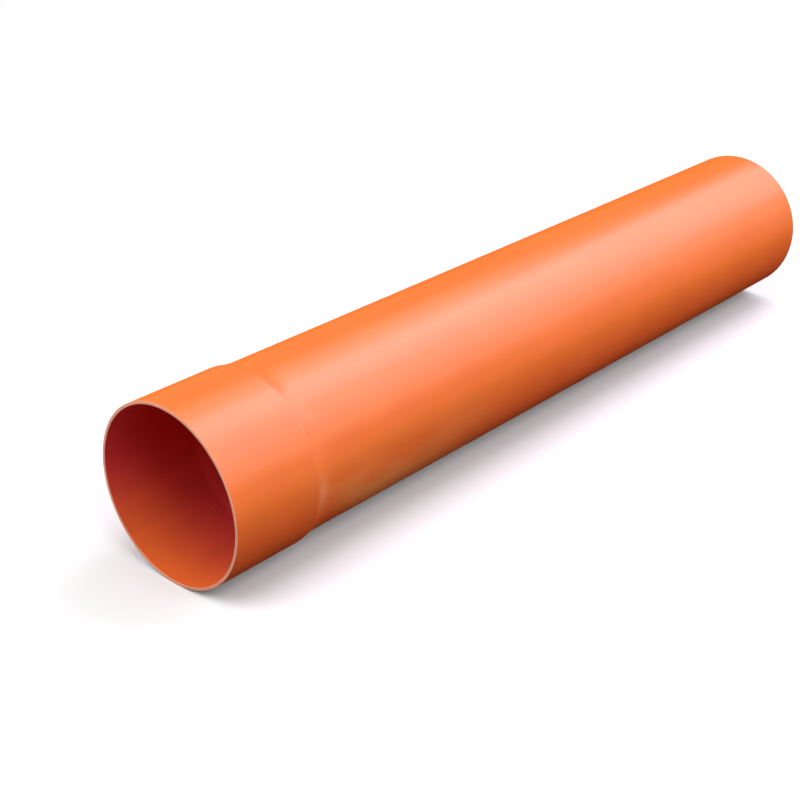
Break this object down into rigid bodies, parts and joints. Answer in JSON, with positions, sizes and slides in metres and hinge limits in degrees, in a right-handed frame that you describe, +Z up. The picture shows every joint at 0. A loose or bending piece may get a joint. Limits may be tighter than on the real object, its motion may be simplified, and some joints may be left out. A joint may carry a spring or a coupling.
{
  "type": "pvc drain pipe",
  "caption": "Straight orange drain pipe of unplasticised PVC, with a plain belled socket for a glued joint at one end and a square-cut spigot at the other.",
  "frame": {"origin": "on the floor, under the middle of the pipe's overall length and under its axis", "axes": "+X along the pipe's axis, from the socket's mouth towards the spigot end; +Z up, with the pipe lying on its side"},
  "size_m": [1.118, 0.2074, 0.2073],
  "materials": {
    "orange_pvc": "satin"
  },
  "bodies": {
    "root": {"pipe": "orange_pvc"}
  },
  "joints": []
}
